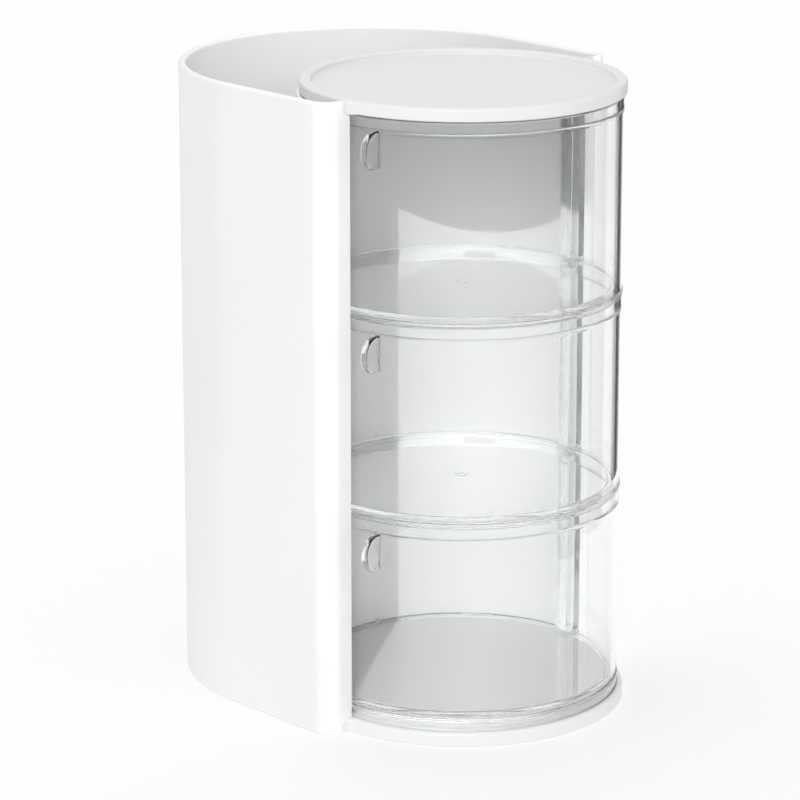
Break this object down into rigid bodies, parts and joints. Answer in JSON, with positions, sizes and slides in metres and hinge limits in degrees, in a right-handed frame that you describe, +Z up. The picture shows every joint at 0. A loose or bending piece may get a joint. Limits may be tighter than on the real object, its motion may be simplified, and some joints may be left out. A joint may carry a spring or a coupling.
{
  "type": "hair accessory organizer",
  "caption": "White countertop organizer: a deep U-shaped bin behind a round tower of clear tiered compartments with curved clear doors that turn about its upright axis.",
  "frame": {"origin": "bottom centre of the bounding box, on the surface that the organizer stands on", "axes": "+Z up, -Y to the front where the doors are, +X to the right as seen from the front"},
  "size_m": [0.16, 0.2038, 0.2632],
  "materials": {
    "white_plastic": "satin moulded white plastic with a soft even sheen",
    "clear_plastic": "clear polished moulded plastic"
  },
  "bodies": {
    "root": {"base": "white_plastic", "outer_shell": "white_plastic", "rear_wall": "white_plastic", "tray_bottom": "clear_plastic", "shelf_lower": "clear_plastic", "shelf_upper": "clear_plastic", "top_ring": "clear_plastic", "lid": "white_plastic"},
    "lower_door": {"door_lower": "clear_plastic"},
    "middle_door": {"door_middle": "clear_plastic"},
    "upper_door": {"door_upper": "clear_plastic"}
  },
  "joints": [
    {"name": "lower_door_turn", "type": "hinge", "parent": "root", "child": "lower_door", "pos_m": [0, -0.0336, 0.0546], "axis": [0, 0, 1], "range_deg": [0, 155]},
    {"name": "middle_door_turn", "type": "hinge", "parent": "root", "child": "middle_door", "pos_m": [0, -0.0336, 0.1373], "axis": [0, 0, 1], "range_deg": [0, 155]},
    {"name": "upper_door_turn", "type": "hinge", "parent": "root", "child": "upper_door", "pos_m": [0, -0.0336, 0.22], "axis": [0, 0, 1], "range_deg": [0, 155]}
  ]
}
